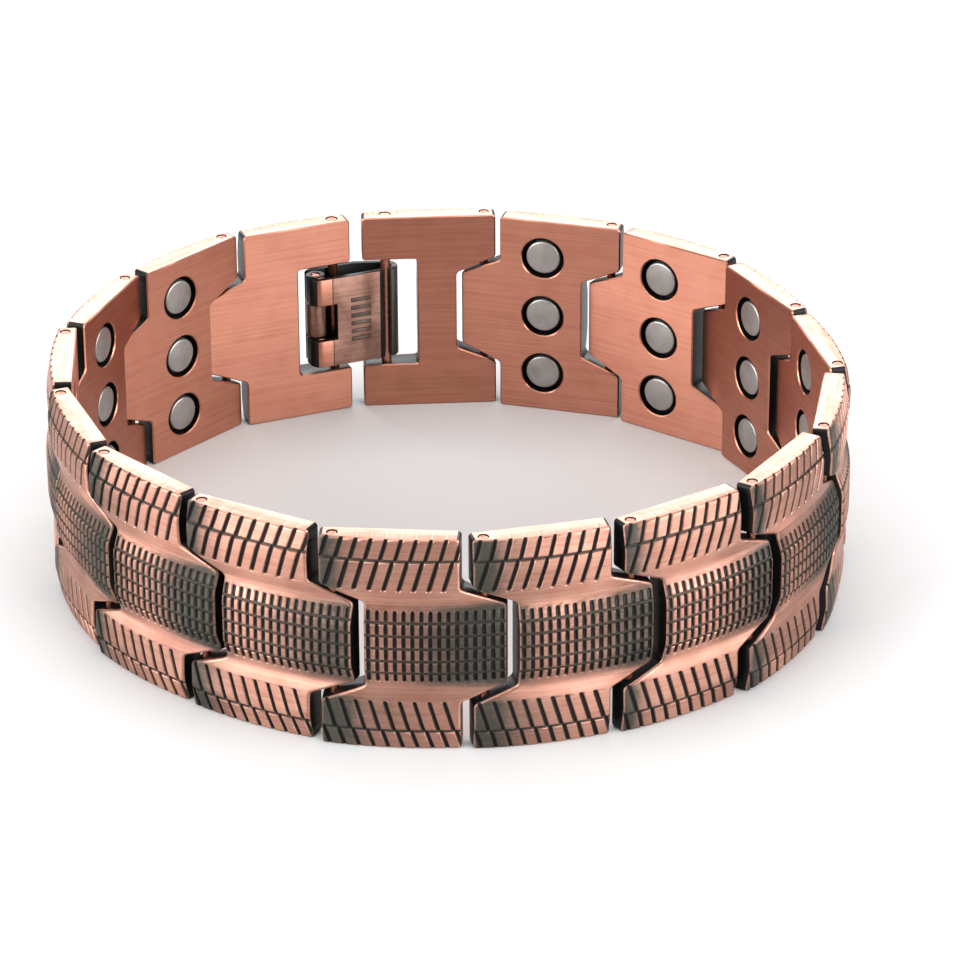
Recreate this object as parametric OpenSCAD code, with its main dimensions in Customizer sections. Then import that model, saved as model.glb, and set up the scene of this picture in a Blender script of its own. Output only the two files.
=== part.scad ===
// Copper link bracelet: fifteen patterned links and two clasp links, hinged
// on upright pins into a closed loop that stands on its lower edge.
// The clasp is at the back (+Y). Millimetres, +Z up, floor at Z = 0.

/* [Band] */
// Height of the band, which is the width of the bracelet
band_h = 20.3; // [20:0.1:21]
// Distance from one hinge pin to the next
pitch = 12.9; // [12.85:0.05:13]
// Gap between the wings of one link and the shoulders of the next
end_gap = 0.8; // [0.7:0.05:0.9]

/* [Link plate] */
// Thickness at the upper and lower edge
edge_t = 2.2; // [2.1:0.05:2.4]
// Thickness of the hatched wing bands
wing_t = 2.65; // [2.5:0.05:2.8]
// Thickness of the smooth strips
strip_t = 2.3; // [2.2:0.05:2.4]
// Thickness of the middle panel
panel_t = 2.95; // [2.8:0.05:3.1]
// Radius of the lengthwise camber of the outer face
camber_r = 38; // [36:1:44]
// Place of the top of the camber, from the pin in the wings
camber_x = 5.6; // [5:0.1:6.5]
// Size of the broken corners of the outline
corner = 0.3; // [0.1:0.05:0.4]

/* [Wings and tongue] */
// Height of a wing at its free end
wing_h = 4.5; // [4.2:0.05:4.6]
// Height of a wing at the notch wall
wing_root_h = 6.1; // [5.8:0.05:6.2]
// Depth of the notch between the wings
notch_deep = 3.85; // [3.8:0.05:4.1]
// Length of the tongue
tongue_len = 3.9; // [3.6:0.05:4]
// Upright clearance between tongue and notch
tongue_gap = 0.5; // [0.2:0.05:0.6]

/* [Hinge pins] */
// Diameter of a hinge pin
pin_d = 0.8; // [0.6:0.05:0.85]
// Clearance round a pin or bar in its bore
pin_gap = 0.04; // [0.03:0.01:0.05]
// Distance of a pin from the end of the wings
pin_end = 1.1; // [1:0.05:1.2]
// Distance of a pin from the inner face
pin_in = 1; // [0.95:0.05:1.05]
// How far a pin's end lies below the edge
pin_sunk = 0.08; // [0.05:0.01:0.15]

/* [Pattern] */
// Distance between the grooves across a wing
wing_groove_pitch = 1.28; // [1.26:0.01:1.3]
// Width of a wing groove
wing_groove_w = 0.3; // [0.2:0.02:0.36]
// Length of a wing groove, measured down from the edge
wing_groove_len = 4.85; // [4.4:0.05:4.9]
// Lean of the wing grooves
wing_lean = 16; // [10:1:20]
// Distance between the grooves across the middle panel
panel_groove_pitch = 0.76; // [0.72:0.01:0.77]
// Width of a panel groove
panel_groove_w = 0.28; // [0.2:0.02:0.32]
// Height of the panel's pattern
panel_h = 7; // [6.4:0.1:7]
// Depth of the grooves
groove_deep = 0.25; // [0.15:0.01:0.27]

/* [Magnets] */
// Diameter of a magnet
magnet_d = 3.4; // [3:0.1:3.7]
// Diameter of its pocket in the inner face
pocket_d = 4.25; // [4.2:0.05:4.5]
// Depth of the pocket
pocket_deep = 1.2; // [1:0.05:1.3]
// How far a magnet's face lies below the inner face
magnet_sunk = 0.2; // [0.15:0.05:0.5]
// Distance between the magnets of one link
magnet_pitch = 6.2; // [5.8:0.05:6.3]
// Distance of the magnets from the end of the wings
magnet_x = 7.8; // [7.4:0.1:8]

/* [Clasp] */
// Length of the clasp link with the tongue, without the tongue
clasp_a_len = 10.9; // [10.8:0.1:11]
// Length of the clasp link with the wings
clasp_b_len = 13.1; // [13:0.1:13.2]
// Depth of the clasp notches
clasp_notch = 5.4; // [5.3:0.1:5.6]
// Height of the cheeks above and below a clasp notch
cheek_h = 4.5; // [4.3:0.1:4.6]
// Height of the clasp plate and its lever
plate_h = 9.4; // [8.8:0.1:9.8]
// Thickness of their sheet metal
sheet = 0.6; // [0.5:0.05:0.65]
// Diameter of the clasp bars
bar_d = 1; // [0.8:0.05:1.05]
// Clearance between a bar and the sheet that passes it
bar_gap = 0.1; // [0.05:0.01:0.15]
// Distance of the first bar from the end of its clasp link
bar_a_in = 1.5; // [1.4:0.05:1.6]
// Distance of the second bar from the end of its clasp link
bar_b_in = 2.3; // [2.2:0.05:2.4]
// Distance of the lever's hinge from the first bar
hinge_in = 1.95; // [1.9:0.05:2]
// Distance of the lever's inner side from the links' inner face
lever_proud = 1.1; // [0.9:0.05:1.2]
// Outer radius of the bends in the sheet
bend_r = 1.1; // [1:0.05:1.15]
// Radius of the knuckles
knuckle_r = 0.95; // [0.9:0.05:0.95]
// Height of the plate's middle knuckle
knuckle_h = 3.4; // [3:0.1:3.6]
// Gap between the knuckles
knuckle_gap = 0.2; // [0.15:0.05:0.3]
// Length of the lever from its hinge to its free end
lever_len = 6.6; // [6.2:0.1:6.8]
// Length of the slot in the lever, from its hinge
slot_len = 1.65; // [1.5:0.05:1.8]
// How far round the second bar the plate's hook reaches, in degrees
hook_end = 115; // [95:5:125]

/* [Hidden] */
$fn = 96;
link_count = 15;
joint_count = link_count + 1;
function num(i) = str(i < 10 ? "0" : "", i);
LINKS = [for (i = [1:link_count]) str("link_", num(i))];
MAGNETS = [for (i = [1:link_count]) str("magnets_", num(i))];
PINS = [for (i = [1:joint_count]) str("joint_pin_", num(i))];
CLASP = ["clasp_link_a", "clasp_link_b", "clasp_bar_a", "clasp_bar_b",
    "clasp_plate", "clasp_lever", "clasp_hinge_pin"];

COPPER = "#c98672";
STEEL = "#8f8a86";

// Turn of each joint in degrees, from clasp link a round by the left, the
// front and the right to clasp link b, as the loop happens to stand
joint_turns = [26, 21, 24, 19, 23, 17, 24, 18, 20, 24, 23, 23, 15, 26, 20, 19];
// Heading of clasp link a, away from the clasp
first_heading = 201.3;
// Place of clasp link a's own frame, which centres the loop's box
first_at = [-9.652, 33.162];

// How far a cut runs past the face that it opens
past = 1;

// A link's own frame: X runs from the pin in its wings, which is the Z axis,
// to the pin in its tongue, and +Y points into the loop
mid_z = band_h / 2;
wing_end = -pin_end;
shoulder = pitch - pin_end - end_gap;
tip = shoulder + tongue_len;
inner_y = pin_in;
notch_wall = wing_end + notch_deep;
clasp_a_end = shoulder - clasp_a_len;
clasp_a_wall = clasp_a_end + clasp_notch;
clasp_b_end = wing_end + clasp_b_len;
clasp_b_wall = clasp_b_end - clasp_notch;
// The clasp links' wing grooves stop short of the cheeks' inner sides
cheek_margin = 0.3;
cheek_groove_len = cheek_h - cheek_margin;
// Where a row's first groove lies, in pitches from the row's start, and how
// much of a pitch may be missing at the row's end for one groove more
wing_groove_lead = 0.55;
wing_groove_spare = 0.6;
panel_groove_lead = 0.32;
panel_groove_spare = 0.1;
// The tongue's sides follow the slope of the notch's sides
side_slope = (wing_root_h - wing_h) / notch_deep;
tongue_root_z = wing_h + tongue_gap - end_gap * side_slope;
tongue_tip_z = tongue_root_z + tongue_len * side_slope;
// How much thinner a wing band is at the strip than in its middle
wing_fall = 0.1;
// Upright axis inside the loop, round which the outer face is cambered
camber_axis_y = inner_y + camber_r - wing_t;

// Clasp, in the frame of the clasp link that each part lies along. The plate
// passes outside both bars and the lever passes inside the first.
bar_a_x = clasp_a_end + bar_a_in;
bar_b_x = clasp_b_end - bar_b_in;
sheet_y = -bar_d / 2 - bar_gap - sheet;
lever_y = inner_y + lever_proud;
hinge_x = bar_a_x + hinge_in;
hinge_y = (lever_y + sheet_y) / 2;
slot_x = hinge_x - slot_len;
plate_z = mid_z - plate_h / 2;
hook_r = bar_d / 2 + bar_gap + sheet / 2;
// The knuckles stand out a little past the sheet that they end
knuckle_bulge = 0.05;
// The plate's upper and lower parts run on flat behind the lever's knuckles,
// and what is cut from their rolled ends starts this far above the flat sheet
flat_gap = 0.02;
flat_top_y = sheet_y + sheet + flat_gap;
sheet_end_x = hinge_x + knuckle_r - knuckle_bulge;
arc_steps = 12;

// Heading and place of piece i: 0 is clasp link a, 1 to link_count are the
// links, and joint_count is clasp link b
function heading(i) = i == 0 ? first_heading : heading(i - 1) + joint_turns[i - 1];
function forward(i) = [cos(heading(i)), sin(heading(i))];
function inward(i) = [-sin(heading(i)), cos(heading(i))];
function place(i) = i == 0 ? first_at : place(i - 1) + pitch * forward(i - 1);

module at_piece(i) {
    translate([place(i).x, place(i).y, 0])
        rotate([0, 0, heading(i)])
            children();
}

// Outline whose corners are broken, each by a short side
function toward(p, q) = p + (q - p) * corner / norm(q - p);
function broken(points) = [
    for (i = [0:len(points) - 1])
        let (before = points[(i + len(points) - 1) % len(points)],
            after = points[(i + 1) % len(points)])
        each [toward(points[i], before), toward(points[i], after)]
];
function backward(points) = [for (i = [len(points) - 1:-1:0]) points[i]];

// Outlines of the three kinds of link, as [along the band, up]
tongued_end = [
    [shoulder, 0], [shoulder, tongue_root_z],
    [tip, tongue_tip_z], [tip, band_h - tongue_tip_z],
    [shoulder, band_h - tongue_root_z], [shoulder, band_h]
];
winged_end = [
    [wing_end, band_h], [wing_end, band_h - wing_h],
    [notch_wall, band_h - wing_root_h], [notch_wall, wing_root_h],
    [wing_end, wing_h], [wing_end, 0]
];
function notched_end(end, wall) = [
    [end, band_h], [end, band_h - cheek_h], [wall, band_h - cheek_h],
    [wall, cheek_h], [end, cheek_h], [end, 0]
];
link_outline = concat(tongued_end, winged_end);
clasp_a_outline = concat(tongued_end, notched_end(clasp_a_end, clasp_a_wall));
clasp_b_outline = concat(backward(notched_end(clasp_b_end, clasp_b_wall)), winged_end);

// Half of the section across the band: the hatched wing band, the smooth
// strip and the middle panel, lowered by sunk
function half_section(sunk) = [
    // [outward from the inner face, in from the edge]
    [edge_t - sunk, 0],
    [wing_t - sunk, 2.4],
    [wing_t - wing_fall - sunk, 4.9],
    [strip_t - sunk, 5.9],
    [strip_t - sunk, 6.3],
    [panel_t - sunk, 8.1],
];

module section(sunk) {
    lower = half_section(sunk);
    upper = [for (p = backward(lower)) [p.x, band_h - p.y]];
    polygon(concat([[-past, 0]], lower, upper, [[-past, band_h]]));
}

// Ring whose outer side is the cambered outer face, lowered by sunk
module camber_ring(sunk) {
    translate([camber_x, camber_axis_y, 0])
        rotate_extrude($fn = 180)
            translate([camber_r - wing_t, 0])
                section(sunk);
}

// Slanted bars through the upper wing band, from the edge inwards
module wing_bars(from, to, long) {
    count = floor((to - from) / wing_groove_pitch + wing_groove_spare);
    for (i = [0:count - 1])
        translate([from + wing_groove_pitch * (i + wing_groove_lead), -panel_t, band_h])
            rotate([0, wing_lean, 0])
                translate([-wing_groove_w / 2, 0, -long / cos(wing_lean)])
                    cube([wing_groove_w, panel_t, long + 2 * past]);
}

// Upright bars through the middle panel
module panel_bars(from, to) {
    count = floor((to - from) / panel_groove_pitch + panel_groove_spare);
    for (i = [0:count - 1])
        translate([
            from + panel_groove_pitch * (i + panel_groove_lead),
            -panel_t,
            mid_z - panel_h / 2
        ])
            cube([panel_groove_w, panel_t, panel_h]);
}

// What the grooves take away: bars down to the lowered outer face. The wings
// reach from wing_from to wing_to, and the panel from panel_from to panel_to.
module grooves(wing_from, wing_to, panel_from, panel_to, long = wing_groove_len) {
    difference() {
        union() {
            wing_bars(wing_from, wing_to, long);
            translate([0, 0, band_h])
                mirror([0, 0, 1])
                    wing_bars(wing_from, wing_to, long);
            panel_bars(panel_from, panel_to);
        }
        camber_ring(groove_deep);
    }
}

// Plate of the given outline, flat inside and cambered outside
module plate(outline) {
    intersection() {
        translate([0, inner_y, 0])
            rotate([90, 0, 0])
                linear_extrude(height = panel_t + past)
                    polygon(broken(outline));
        camber_ring(0);
    }
}

// Pin or clasp bar across the band
module bar(x, d = bar_d) {
    color(STEEL)
        translate([x, 0, pin_sunk])
            cylinder(h = band_h - 2 * pin_sunk, d = d);
}

module bore(x, d) {
    translate([x, 0, -past])
        cylinder(h = band_h + 2 * past, d = d + 2 * pin_gap);
}

module at_magnets(sunk) {
    for (i = [-1:1])
        translate([wing_end + magnet_x, inner_y - sunk, mid_z + i * magnet_pitch])
            rotate([90, 0, 0])
                children();
}

module link() {
    color(COPPER)
        difference() {
            plate(link_outline);
            bore(0, pin_d);
            bore(pitch, pin_d);
            at_magnets(-past)
                cylinder(h = pocket_deep + past, d = pocket_d);
            grooves(wing_end, shoulder, notch_wall, tip);
        }
}

module magnets() {
    color(STEEL)
        at_magnets(magnet_sunk)
            cylinder(h = pocket_deep - magnet_sunk - pin_gap, d = magnet_d);
}

module clasp_link_a() {
    color(COPPER)
        difference() {
            plate(clasp_a_outline);
            bore(bar_a_x, bar_d);
            bore(pitch, pin_d);
            grooves(clasp_a_end, shoulder, clasp_a_wall, tip, cheek_groove_len);
        }
}

module clasp_link_b() {
    color(COPPER)
        difference() {
            plate(clasp_b_outline);
            bore(0, pin_d);
            bore(bar_b_x, bar_d);
            grooves(wing_end, clasp_b_end, notch_wall, clasp_b_wall, cheek_groove_len);
        }
}

// Middle line of a bend, from one angle to another about a centre
function arc(centre, r, from, to) = [
    for (i = [0:arc_steps])
        let (angle = from + (to - from) * i / arc_steps)
        centre + r * [cos(angle), sin(angle)]
];

// Outline of sheet metal that follows a middle line, with mitred corners
function left_of(v) = [-v.y, v.x] / norm(v);
function beside(line, i, d) =
    let (end = len(line) - 1,
        n = left_of(line[max(i, 1)] - line[max(i, 1) - 1])
            + left_of(line[min(i, end - 1) + 1] - line[min(i, end - 1)]))
    line[i] + 2 * d * n / (n * n);
function ribbon(line) = [
    for (i = [0:len(line) - 1]) beside(line, i, -sheet / 2),
    for (i = [len(line) - 1:-1:0]) beside(line, i, sheet / 2)
];

// Last stretch of a middle line, which bends round outside the hinge and
// runs to the knuckle. The outer side of the bend starts at y, and the hinge
// lies inward of it where inner is 1, and outward where inner is -1.
function rolled_end(y, inner) = concat(
    arc([sheet_end_x - bend_r, y + inner * bend_r], bend_r - sheet / 2, -inner * 90, 0),
    [[sheet_end_x - sheet / 2, hinge_y]]
);

// Sheet metal of the plate's height, with a knuckle round the hinge
module rolled_sheet(line) {
    translate([0, 0, plate_z])
        linear_extrude(height = plate_h) {
            polygon(ribbon(line));
            translate([hinge_x, hinge_y])
                circle(knuckle_r);
        }
}

module hinge_bore() {
    translate([hinge_x, hinge_y, 0])
        cylinder(h = band_h, d = pin_d + 2 * pin_gap);
}

// Place in clasp link a's frame of a place in clasp link b's
last = joint_count;
function seen_from_a(p) =
    let (way = place(last) + p.x * forward(last) + p.y * inward(last) - place(0))
    [way * forward(0), way * inward(0)];

// The plate's hook round the second bar, and the corner between the part of
// the plate that lies along clasp link b and the part along clasp link a
hook_line = [for (p = arc([bar_b_x, 0], hook_r, hook_end, 270)) seen_from_a(p)];
hook_foot = hook_line[arc_steps];
along_b = seen_from_a([bar_b_x + 1, -hook_r]) - hook_foot;
plate_corner = hook_foot + along_b * (sheet_y + sheet / 2 - hook_foot.y) / along_b.y;

module clasp_plate() {
    color(COPPER)
        difference() {
            rolled_sheet(concat(hook_line, [plate_corner], rolled_end(sheet_y, 1)));
            for (z = [mid_z - knuckle_h / 2 - plate_h, mid_z + knuckle_h / 2])
                translate([slot_x, flat_top_y, z])
                    cube([slot_len + 2 * bend_r, 4 * bend_r, plate_h]);
            hinge_bore();
        }
}

module clasp_lever() {
    lever_end = [hinge_x - lever_len, lever_y - sheet / 2];
    color(COPPER)
        difference() {
            rolled_sheet(concat([lever_end], rolled_end(lever_y, -1)));
            translate([slot_x, sheet_y - past, mid_z - knuckle_h / 2 - knuckle_gap])
                cube([slot_len + 2 * bend_r, 4 * bend_r + past, knuckle_h + 2 * knuckle_gap]);
            hinge_bore();
        }
}

module clasp_hinge_pin() {
    color(STEEL)
        translate([hinge_x, hinge_y, plate_z + pin_sunk])
            cylinder(h = plate_h - 2 * pin_sunk, d = pin_d);
}

at_piece(0) clasp_link_a();
at_piece(last) clasp_link_b();
at_piece(0) bar(bar_a_x);  // clasp_bar_a
at_piece(last) bar(bar_b_x);  // clasp_bar_b
at_piece(0) clasp_plate();
at_piece(0) clasp_lever();
at_piece(0) clasp_hinge_pin();
for (i = [1:link_count]) {
    at_piece(i) link();
    at_piece(i) magnets();
}
for (i = [1:joint_count])
    at_piece(i) bar(0, pin_d);
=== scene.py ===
"""Looks of a copper link bracelet with a fold-over clasp, built round its packed frame."""

import random
from math import cos, pi, radians, sin, sqrt
from types import SimpleNamespace

import bmesh
import bpy
from bmesh.types import BMEdge, BMVert
from bpy.props import FloatProperty, FloatVectorProperty, IntProperty, PointerProperty
from bpy.types import Operator, Panel, PropertyGroup
from mathutils import Matrix, Vector


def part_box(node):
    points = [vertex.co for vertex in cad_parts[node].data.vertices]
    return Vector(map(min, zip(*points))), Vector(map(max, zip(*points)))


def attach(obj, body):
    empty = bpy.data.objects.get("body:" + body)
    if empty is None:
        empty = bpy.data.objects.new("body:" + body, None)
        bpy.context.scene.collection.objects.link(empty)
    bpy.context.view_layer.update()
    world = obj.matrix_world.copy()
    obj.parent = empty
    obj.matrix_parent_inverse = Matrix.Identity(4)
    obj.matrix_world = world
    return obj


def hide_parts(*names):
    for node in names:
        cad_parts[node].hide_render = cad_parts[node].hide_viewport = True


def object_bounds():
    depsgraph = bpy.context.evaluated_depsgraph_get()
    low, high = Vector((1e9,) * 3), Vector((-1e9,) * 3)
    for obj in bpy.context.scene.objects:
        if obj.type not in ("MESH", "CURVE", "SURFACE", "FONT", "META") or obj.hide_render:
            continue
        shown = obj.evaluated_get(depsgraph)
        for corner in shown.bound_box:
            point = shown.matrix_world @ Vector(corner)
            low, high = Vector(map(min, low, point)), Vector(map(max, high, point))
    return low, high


bl_info = {
    "name": "Copper Link Bracelet",
    "version": (1, 0, 0),
    "blender": (4, 5, 0),
    "location": "View3D > Sidebar > Bracelet",
    "description": "Dresses a bracelet's frame with patterned copper links, magnets and a clasp",
    "category": "Object",
}

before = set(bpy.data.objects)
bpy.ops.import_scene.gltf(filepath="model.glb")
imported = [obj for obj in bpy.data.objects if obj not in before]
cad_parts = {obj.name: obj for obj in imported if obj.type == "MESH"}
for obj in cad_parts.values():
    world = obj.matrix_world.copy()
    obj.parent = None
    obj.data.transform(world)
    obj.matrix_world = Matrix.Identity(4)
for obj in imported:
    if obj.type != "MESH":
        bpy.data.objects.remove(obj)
cad_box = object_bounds()

MM = 0.001
LINKS = 15
JOINTS = LINKS + 1
BODY = "bracelet"

# Lengths in millimetres that only the meshes need
CLOSE = 1e-4  # nearer than this is the same place
MERGE = 0.002  # the frame's own meshes are no finer
ON_EDGE = 0.01  # a point this near the edge's plane lies on it
INNER_BAND = 0.13  # reaches just past the inner face's broken edge
RIM_SUPPORT = 0.07  # flat ring inside a rounded rim
CAMBER_FIRST, CAMBER_STEP, CAMBER_LAST = 0.8, 1.0, 0.5  # cuts that carry the camber
SECTION_BLUR = 0.35  # softening of the section's corners
GROOVE_END = 0.2  # run-out at a groove's end
CHEEK_MARGIN = 0.3  # plain metal between a clasp link's grooves and its notch
BORE_PLAY, BORE_RIM, BORE_DEEP = 0.07, 0.05, 0.6
BORE_FIELD = 0.35  # how far beyond a bore's diameter its face is cut anew
POCKET_RIM = 0.1
MAGNET_PLAY, MAGNET_RIM = 0.04, 0.18
SHEET_RIM, GRIP_RIM = 0.07, 0.06
SPOT_STEP, CLASP_SPOT = 20, 400  # moves each piece to its own patch of the noise

BORE_SEGMENTS, DISC_SEGMENTS = 24, 40
SHARP_ANGLE, CORNER_ANGLE = 38, 40  # degrees
# The first groove's place and the spare room that still takes one more, in pitches
WING_FIRST, WING_SPARE = 0.55, 0.6
PANEL_FIRST, PANEL_SPARE = 0.5, 0.1
ROW_CROSS = 0.5  # how much an upright groove fades where a level one crosses it


def length(name, description, default_mm):
    """Property for a length, given in millimetres"""
    return FloatProperty(
        name=name, description=description, default=default_mm * MM, unit="LENGTH", precision=5
    )


def angle(name, description, default_degrees):
    """Property for an angle, given in degrees"""
    return FloatProperty(
        name=name, description=description, default=radians(default_degrees), subtype="ANGLE"
    )


def colour(name, description, default):
    """Property for a linear colour"""
    return FloatVectorProperty(
        name=name, description=description, default=default, subtype="COLOR", min=0, max=1
    )


def factor(name, description, default):
    """Property for a share from 0 to 1"""
    return FloatProperty(
        name=name, description=description, default=default, subtype="FACTOR", min=0, max=1
    )


class BraceletLinkSizes(PropertyGroup):
    """Sizes of the plates that the links are made of"""

    edge_t: length("Edge thickness", "Thickness at the upper and lower edge", 2.2)
    wing_t: length("Wing thickness", "Thickness of the hatched wing bands", 2.65)
    strip_t: length("Strip thickness", "Thickness of the smooth strips", 2.3)
    panel_t: length("Panel thickness", "Thickness of the middle panel", 2.95)
    camber_r: length("Camber radius", "Radius of the lengthwise camber of the outer face", 38)
    camber_x: length("Camber place", "Top of the camber, from the pin in the wings", 5.6)
    corner: length("Corner", "Radius of the outline's corners", 0.3)
    rim: length("Rim", "Radius of the outer face's rounded edge", 0.22)
    inner_rim: length("Inner rim", "Size of the inner face's broken edge", 0.12)
    end_gap: length("End gap", "Gap between the ends of two links", 0.8)
    pin_end: length("Pin place", "Distance of a pin from the end of the wings", 1.1)
    pin_in: length("Pin depth", "Distance of a pin from the inner face", 1)
    pin_d: length("Pin", "Diameter of a hinge pin", 0.8)
    bar_d: length("Clasp bar", "Diameter of a clasp bar", 1)
    wing_h: length("Wing height", "Height of a wing at its free end", 4.5)
    wing_root_h: length("Wing root", "Height of a wing at the notch wall", 6.1)
    notch_deep: length("Notch", "Depth of the notch between the wings", 3.85)
    tongue_len: length("Tongue", "Length of the tongue", 3.9)
    tongue_gap: length("Tongue gap", "Upright clearance between tongue and notch", 0.5)
    clasp_a_len: length("Clasp link a", "Length of the clasp link with the tongue", 10.9)
    clasp_b_len: length("Clasp link b", "Length of the clasp link with the wings", 13.1)
    clasp_notch: length("Clasp notch", "Depth of the clasp notches", 5.4)
    cheek_h: length("Cheek", "Height of the cheeks beside a clasp notch", 4.5)
    bar_a_in: length("Bar place a", "Distance of bar a from the end of clasp link a", 1.5)
    bar_b_in: length("Bar place b", "Distance of bar b from the end of clasp link b", 2.3)


class BraceletPatternSizes(PropertyGroup):
    """Sizes of the grooves in the outer faces"""

    wing_pitch: length("Wing pitch", "Distance between the grooves across a wing", 1.28)
    wing_reach: length("Wing grooves", "Length of a wing groove, down from the edge", 4.85)
    wing_lean: angle("Wing lean", "Lean of the wing grooves", 16)
    wing_shift: length("Wing shift", "Step of each wing groove at the scribed line", 0.2)
    scribe_in: length("Scribed line", "Distance of the scribed line from the edge", 1.9)
    panel_pitch: length("Panel pitch", "Distance between the upright panel grooves", 0.76)
    panel_h: length("Panel height", "Height of the panel's pattern", 7)
    row_pitch: length("Row pitch", "Distance between the level panel grooves", 1.21)
    deep: length("Depth", "Depth of the upright and slanted grooves", 0.25)
    row_deep: length("Row depth", "Depth of the level grooves", 0.16)
    scribe_deep: length("Scribed depth", "Depth of the scribed line", 0.17)
    wide: length("Width", "Half the width of a groove", 0.24)
    row_wide: length("Row width", "Half the width of a level groove", 0.2)


class BraceletMagnetSizes(PropertyGroup):
    """Sizes of the magnets and their pockets"""

    disc_d: length("Magnet", "Diameter of a magnet", 3.4)
    pocket_d: length("Pocket", "Diameter of a pocket", 4.25)
    pocket_deep: length("Pocket depth", "Depth of a pocket", 1.2)
    disc_sunk: length("Sunk", "How far a magnet's face lies below the inner face", 0.2)
    spread: length("Spread", "Distance between the magnets of one link", 6.2)
    along: length("Place", "Distance of the magnets from the end of the wings", 7.8)


class BraceletClaspSizes(PropertyGroup):
    """Places on the clasp's lever and plate"""

    crease: length("Crease", "Distance of the lever's creased line from its hinge", 1.15)
    crease_wide: length("Crease width", "Width of the lever's creased line", 0.1)
    end_line: length("End line", "Where the lever's dark end starts, from its hinge", 6.1)
    grip_at: length("Grip place", "Middle of the grip ridges, from the hinge", 4.1)
    grip_long: length("Grip ridge", "Length of a grip ridge", 2.05)
    grip_high: length("Grip height", "Height of the field of grip ridges", 5)
    grip_up: length("Grip rise", "How far the grip ridges stand up", 0.1)
    grip_count: IntProperty(name="Grip ridges", description="Number of grip ridges", default=6)
    knuckle: length("Knuckle", "Reach of the plate's knuckle round the hinge", 1.2)
    knuckle_half: length("Knuckle height", "Half the height of the plate's knuckle", 1.75)
    hook_at: length("Hook place", "Where the plate's hook starts, from the hinge", 7)
    flat_area: FloatProperty(
        name="Flat area", description="Least area of a flat face, in square mm", default=2.2
    )


class BraceletFinish(PropertyGroup):
    """Colours and gloss of the metals"""

    copper: colour("Copper", "Bare copper", (0.52, 0.238, 0.165))
    copper_deep: colour("Deep copper", "Copper in its duller streaks", (0.38, 0.145, 0.095))
    # Paler copper: wear on the outer faces, and on the band's edges a painted highlight as well
    copper_worn_and_sheen: colour("Worn copper", "Paler copper of the worn outer faces", (0.54, 0.325, 0.26))
    patina: colour("Patina", "Thin dark finish on raised metal", (0.054, 0.05, 0.042))
    # Black is oxide in the grooves and painted shade on the walls of the gaps, notches and pockets
    black: colour("Black", "Thick dark finish in grooves and gaps", (0.006, 0.006, 0.006))
    steel: colour("Magnet", "Face of a magnet", (0.36, 0.35, 0.34))
    copper_gloss: factor("Copper roughness", "Roughness of bare copper", 0.42)
    patina_gloss: factor("Patina roughness", "Roughness of the dark finish", 0.55)
    # The blackened walls are painted shade
    black_gloss: factor("Black roughness", "Roughness of the blackened walls", 0.38)
    brushed: factor("Brushing", "How much the brushing along the band stretches a highlight", 0.75)
    seed: IntProperty(name="Seed", description="Seed of the wear from link to link", default=7774)


class BraceletStage(PropertyGroup):
    """Camera, floor and lights"""

    distance: length("Distance", "Camera to the bracelet", 427.6)
    elevation: angle("Elevation", "Camera above the level", 26.96)
    turn: angle("Turn", "Turn of the camera round the bracelet", -0.238)
    roll: angle("Roll", "Roll of the camera", -0.272)
    aside: length("Aside", "Place of the bracelet's middle to the right of the view's", -3.084)
    above: length("Above", "Place of the bracelet's middle above the view's", 1.73)
    lens_px: FloatProperty(
        name="Focal length", description="In pixels of the 960 pixel wide picture", default=4638
    )
    picture_px: FloatProperty(name="Picture", description="Width of the picture", default=960)


SIZE_GROUPS = {
    "bracelet_link": BraceletLinkSizes,
    "bracelet_pattern": BraceletPatternSizes,
    "bracelet_magnet": BraceletMagnetSizes,
    "bracelet_clasp": BraceletClaspSizes,
    "bracelet_finish": BraceletFinish,
    "bracelet_stage": BraceletStage,
}


def in_mm(group):
    """The values of a property group, with its lengths in millimetres"""
    values = {}
    for name in group.__annotations__:
        value = getattr(group, name)
        if group.bl_rna.properties[name].unit == "LENGTH":
            value = value / MM
        values[name] = value
    return SimpleNamespace(**values)


# Places of the pieces, from the frame


def middle(node):
    """Middle of a node's box, in millimetres, at the floor's level"""
    low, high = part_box(node)
    return Vector(((low[0] + high[0]) / 2, (low[1] + high[1]) / 2, 0)) / MM


def band_height():
    """Height of the band, in millimetres"""
    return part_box("link_01")[1][2] / MM


def stand(origin, onward):
    """Matrix of a link's own frame: X along the band, Y into the loop and Z up"""
    along = onward.normalized()
    inward = Vector((-along.y, along.x, 0))
    up = Vector((0, 0, 1))
    return Matrix.Translation(origin) @ Matrix((along, inward, up)).transposed().to_4x4()


def stands():
    """Frames of clasp link a, the links in order, and clasp link b"""
    pins = [middle(f"joint_pin_{i:02d}") for i in range(1, JOINTS + 1)]
    first = pins[0] - middle("clasp_bar_a")
    pitch = (pins[1] - pins[0]).length
    frames = [stand(pins[0] - first.normalized() * pitch, first)]
    for here, there in zip(pins, pins[1:]):
        frames.append(stand(here, there - here))
    frames.append(stand(pins[-1], middle("clasp_bar_b") - pins[-1]))
    return frames, pitch


# Mesh work


def only(kind, parts):
    """The parts of one kind"""
    return [part for part in parts if isinstance(part, kind)]


def round_off(bm, parts, offset, segments, affect="EDGES"):
    """Rounds edges or corners"""
    bmesh.ops.bevel(
        bm, geom=parts, offset=offset, segments=segments, profile=0.5, affect=affect, material=-1
    )


def merge_flat(bm, degrees):
    """Joins faces that lie in one plane"""
    parts = {"verts": bm.verts[:], "edges": bm.edges[:]}
    bmesh.ops.dissolve_limit(
        bm, angle_limit=radians(degrees), use_dissolve_boundaries=False, **parts
    )


def inset(bm, faces, thickness, depth):
    """Insets a field of faces evenly all round"""
    how = {"use_boundary": True, "use_even_offset": True}
    bmesh.ops.inset_region(bm, faces=faces, thickness=thickness, depth=depth, **how)


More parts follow.
